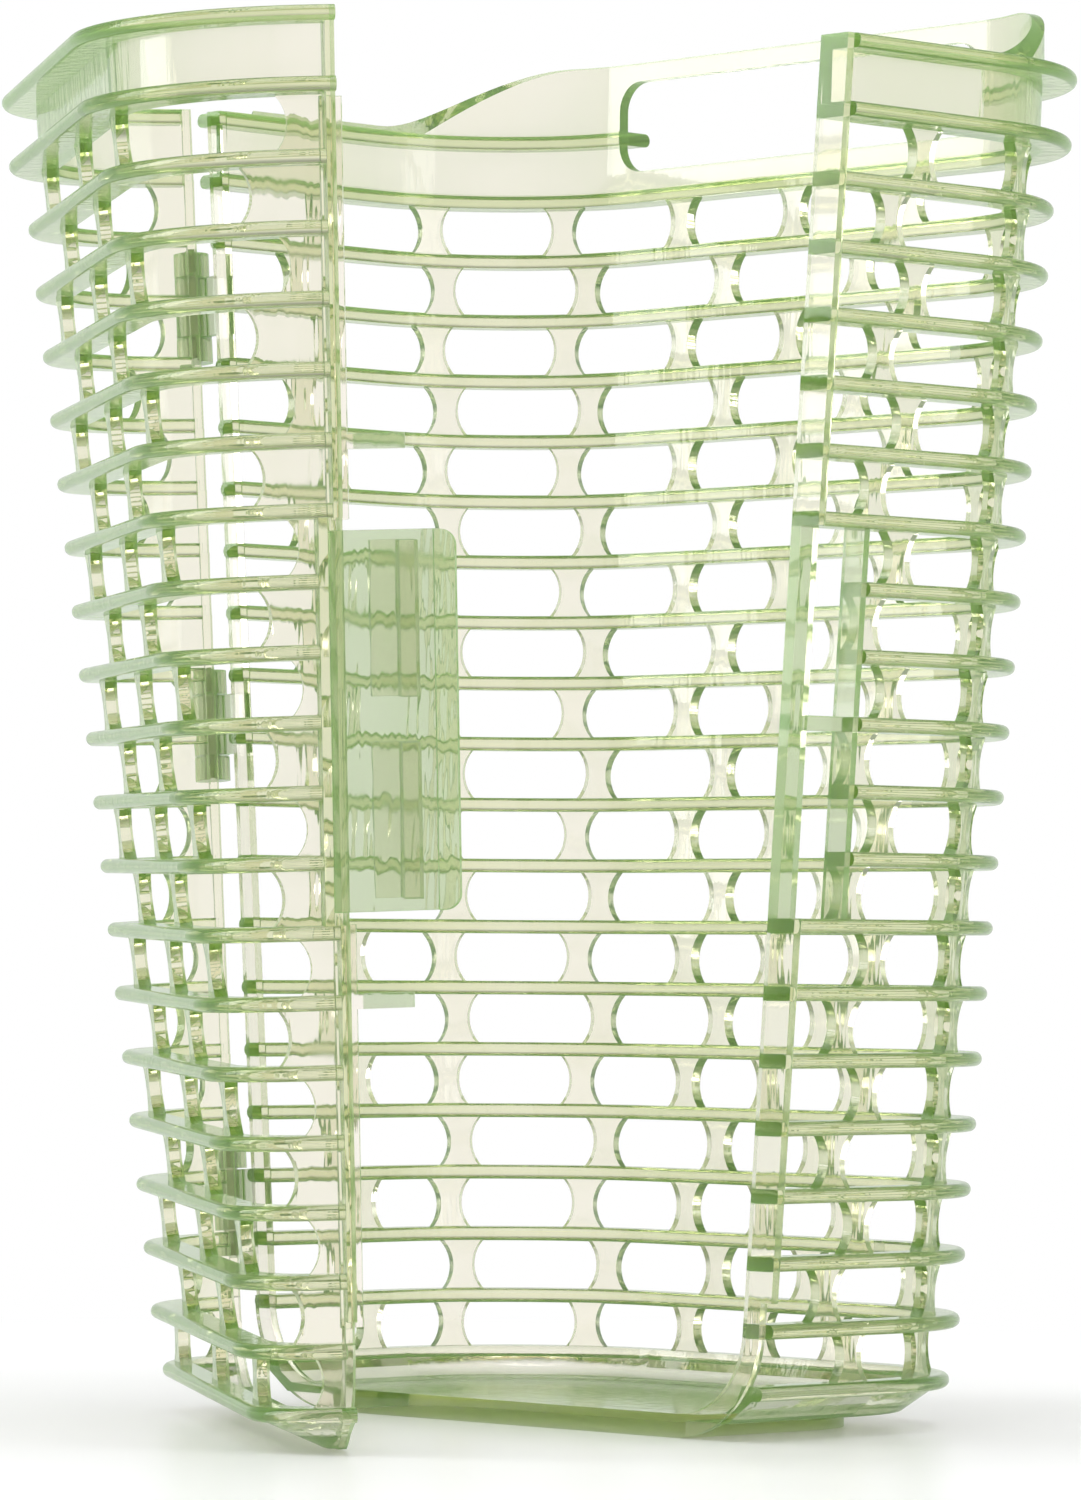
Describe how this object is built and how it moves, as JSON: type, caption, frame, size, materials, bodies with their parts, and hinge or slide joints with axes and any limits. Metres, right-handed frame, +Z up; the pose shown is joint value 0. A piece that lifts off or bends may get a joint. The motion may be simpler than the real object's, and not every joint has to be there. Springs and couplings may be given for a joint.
{
  "type": "produce keeper basket",
  "caption": "Tall tapered basket of translucent ribbed plastic with a hinged front door, a latch flap that hooks into a keeper, and a carry handle with a finger slot.",
  "frame": {"origin": "middle of the foot's front edge, on the ground, in the plane where the door meets the rear shell", "axes": "+Z up, -Y toward the door, +X toward the latch, -X toward the hinge"},
  "size_m": [0.1617, 0.1754, 0.2293],
  "materials": {
    "shell_plastic": "translucent gloss",
    "door_plastic": "translucent gloss",
    "latch_plastic": "translucent gloss",
    "pin_plastic": "translucent gloss"
  },
  "bodies": {
    "basket": {"rear_shell": "shell_plastic", "floor_pan": "shell_plastic", "latch_keeper": "shell_plastic", "shell_hinge_upper": "shell_plastic", "shell_hinge_middle": "shell_plastic", "shell_hinge_lower": "shell_plastic"},
    "door": {"door_shell": "door_plastic", "door_sill": "door_plastic", "door_hinge_upper": "door_plastic", "door_hinge_middle": "door_plastic", "door_hinge_lower": "door_plastic", "hinge_pin_upper": "pin_plastic", "hinge_pin_middle": "pin_plastic", "hinge_pin_lower": "pin_plastic"},
    "latch": {"latch_flap": "latch_plastic", "latch_hook_upper": "latch_plastic", "latch_hook_lower": "latch_plastic"}
  },
  "joints": [
    {"name": "door_hinge", "type": "hinge", "parent": "basket", "child": "door", "pos_m": [-0.06287, -0.0002, 0], "axis": [0.076, 0, -0.9971], "range_deg": [-32.7, 57.3]},
    {"name": "latch_hinge", "type": "hinge", "parent": "door", "child": "latch", "pos_m": [0.04603, -0.07695, 0.11006], "axis": [-0.0521, 0.0819, -0.9953], "range_deg": [0, 15], "stiffness_Nm_per_rad": 0.05}
  ]
}
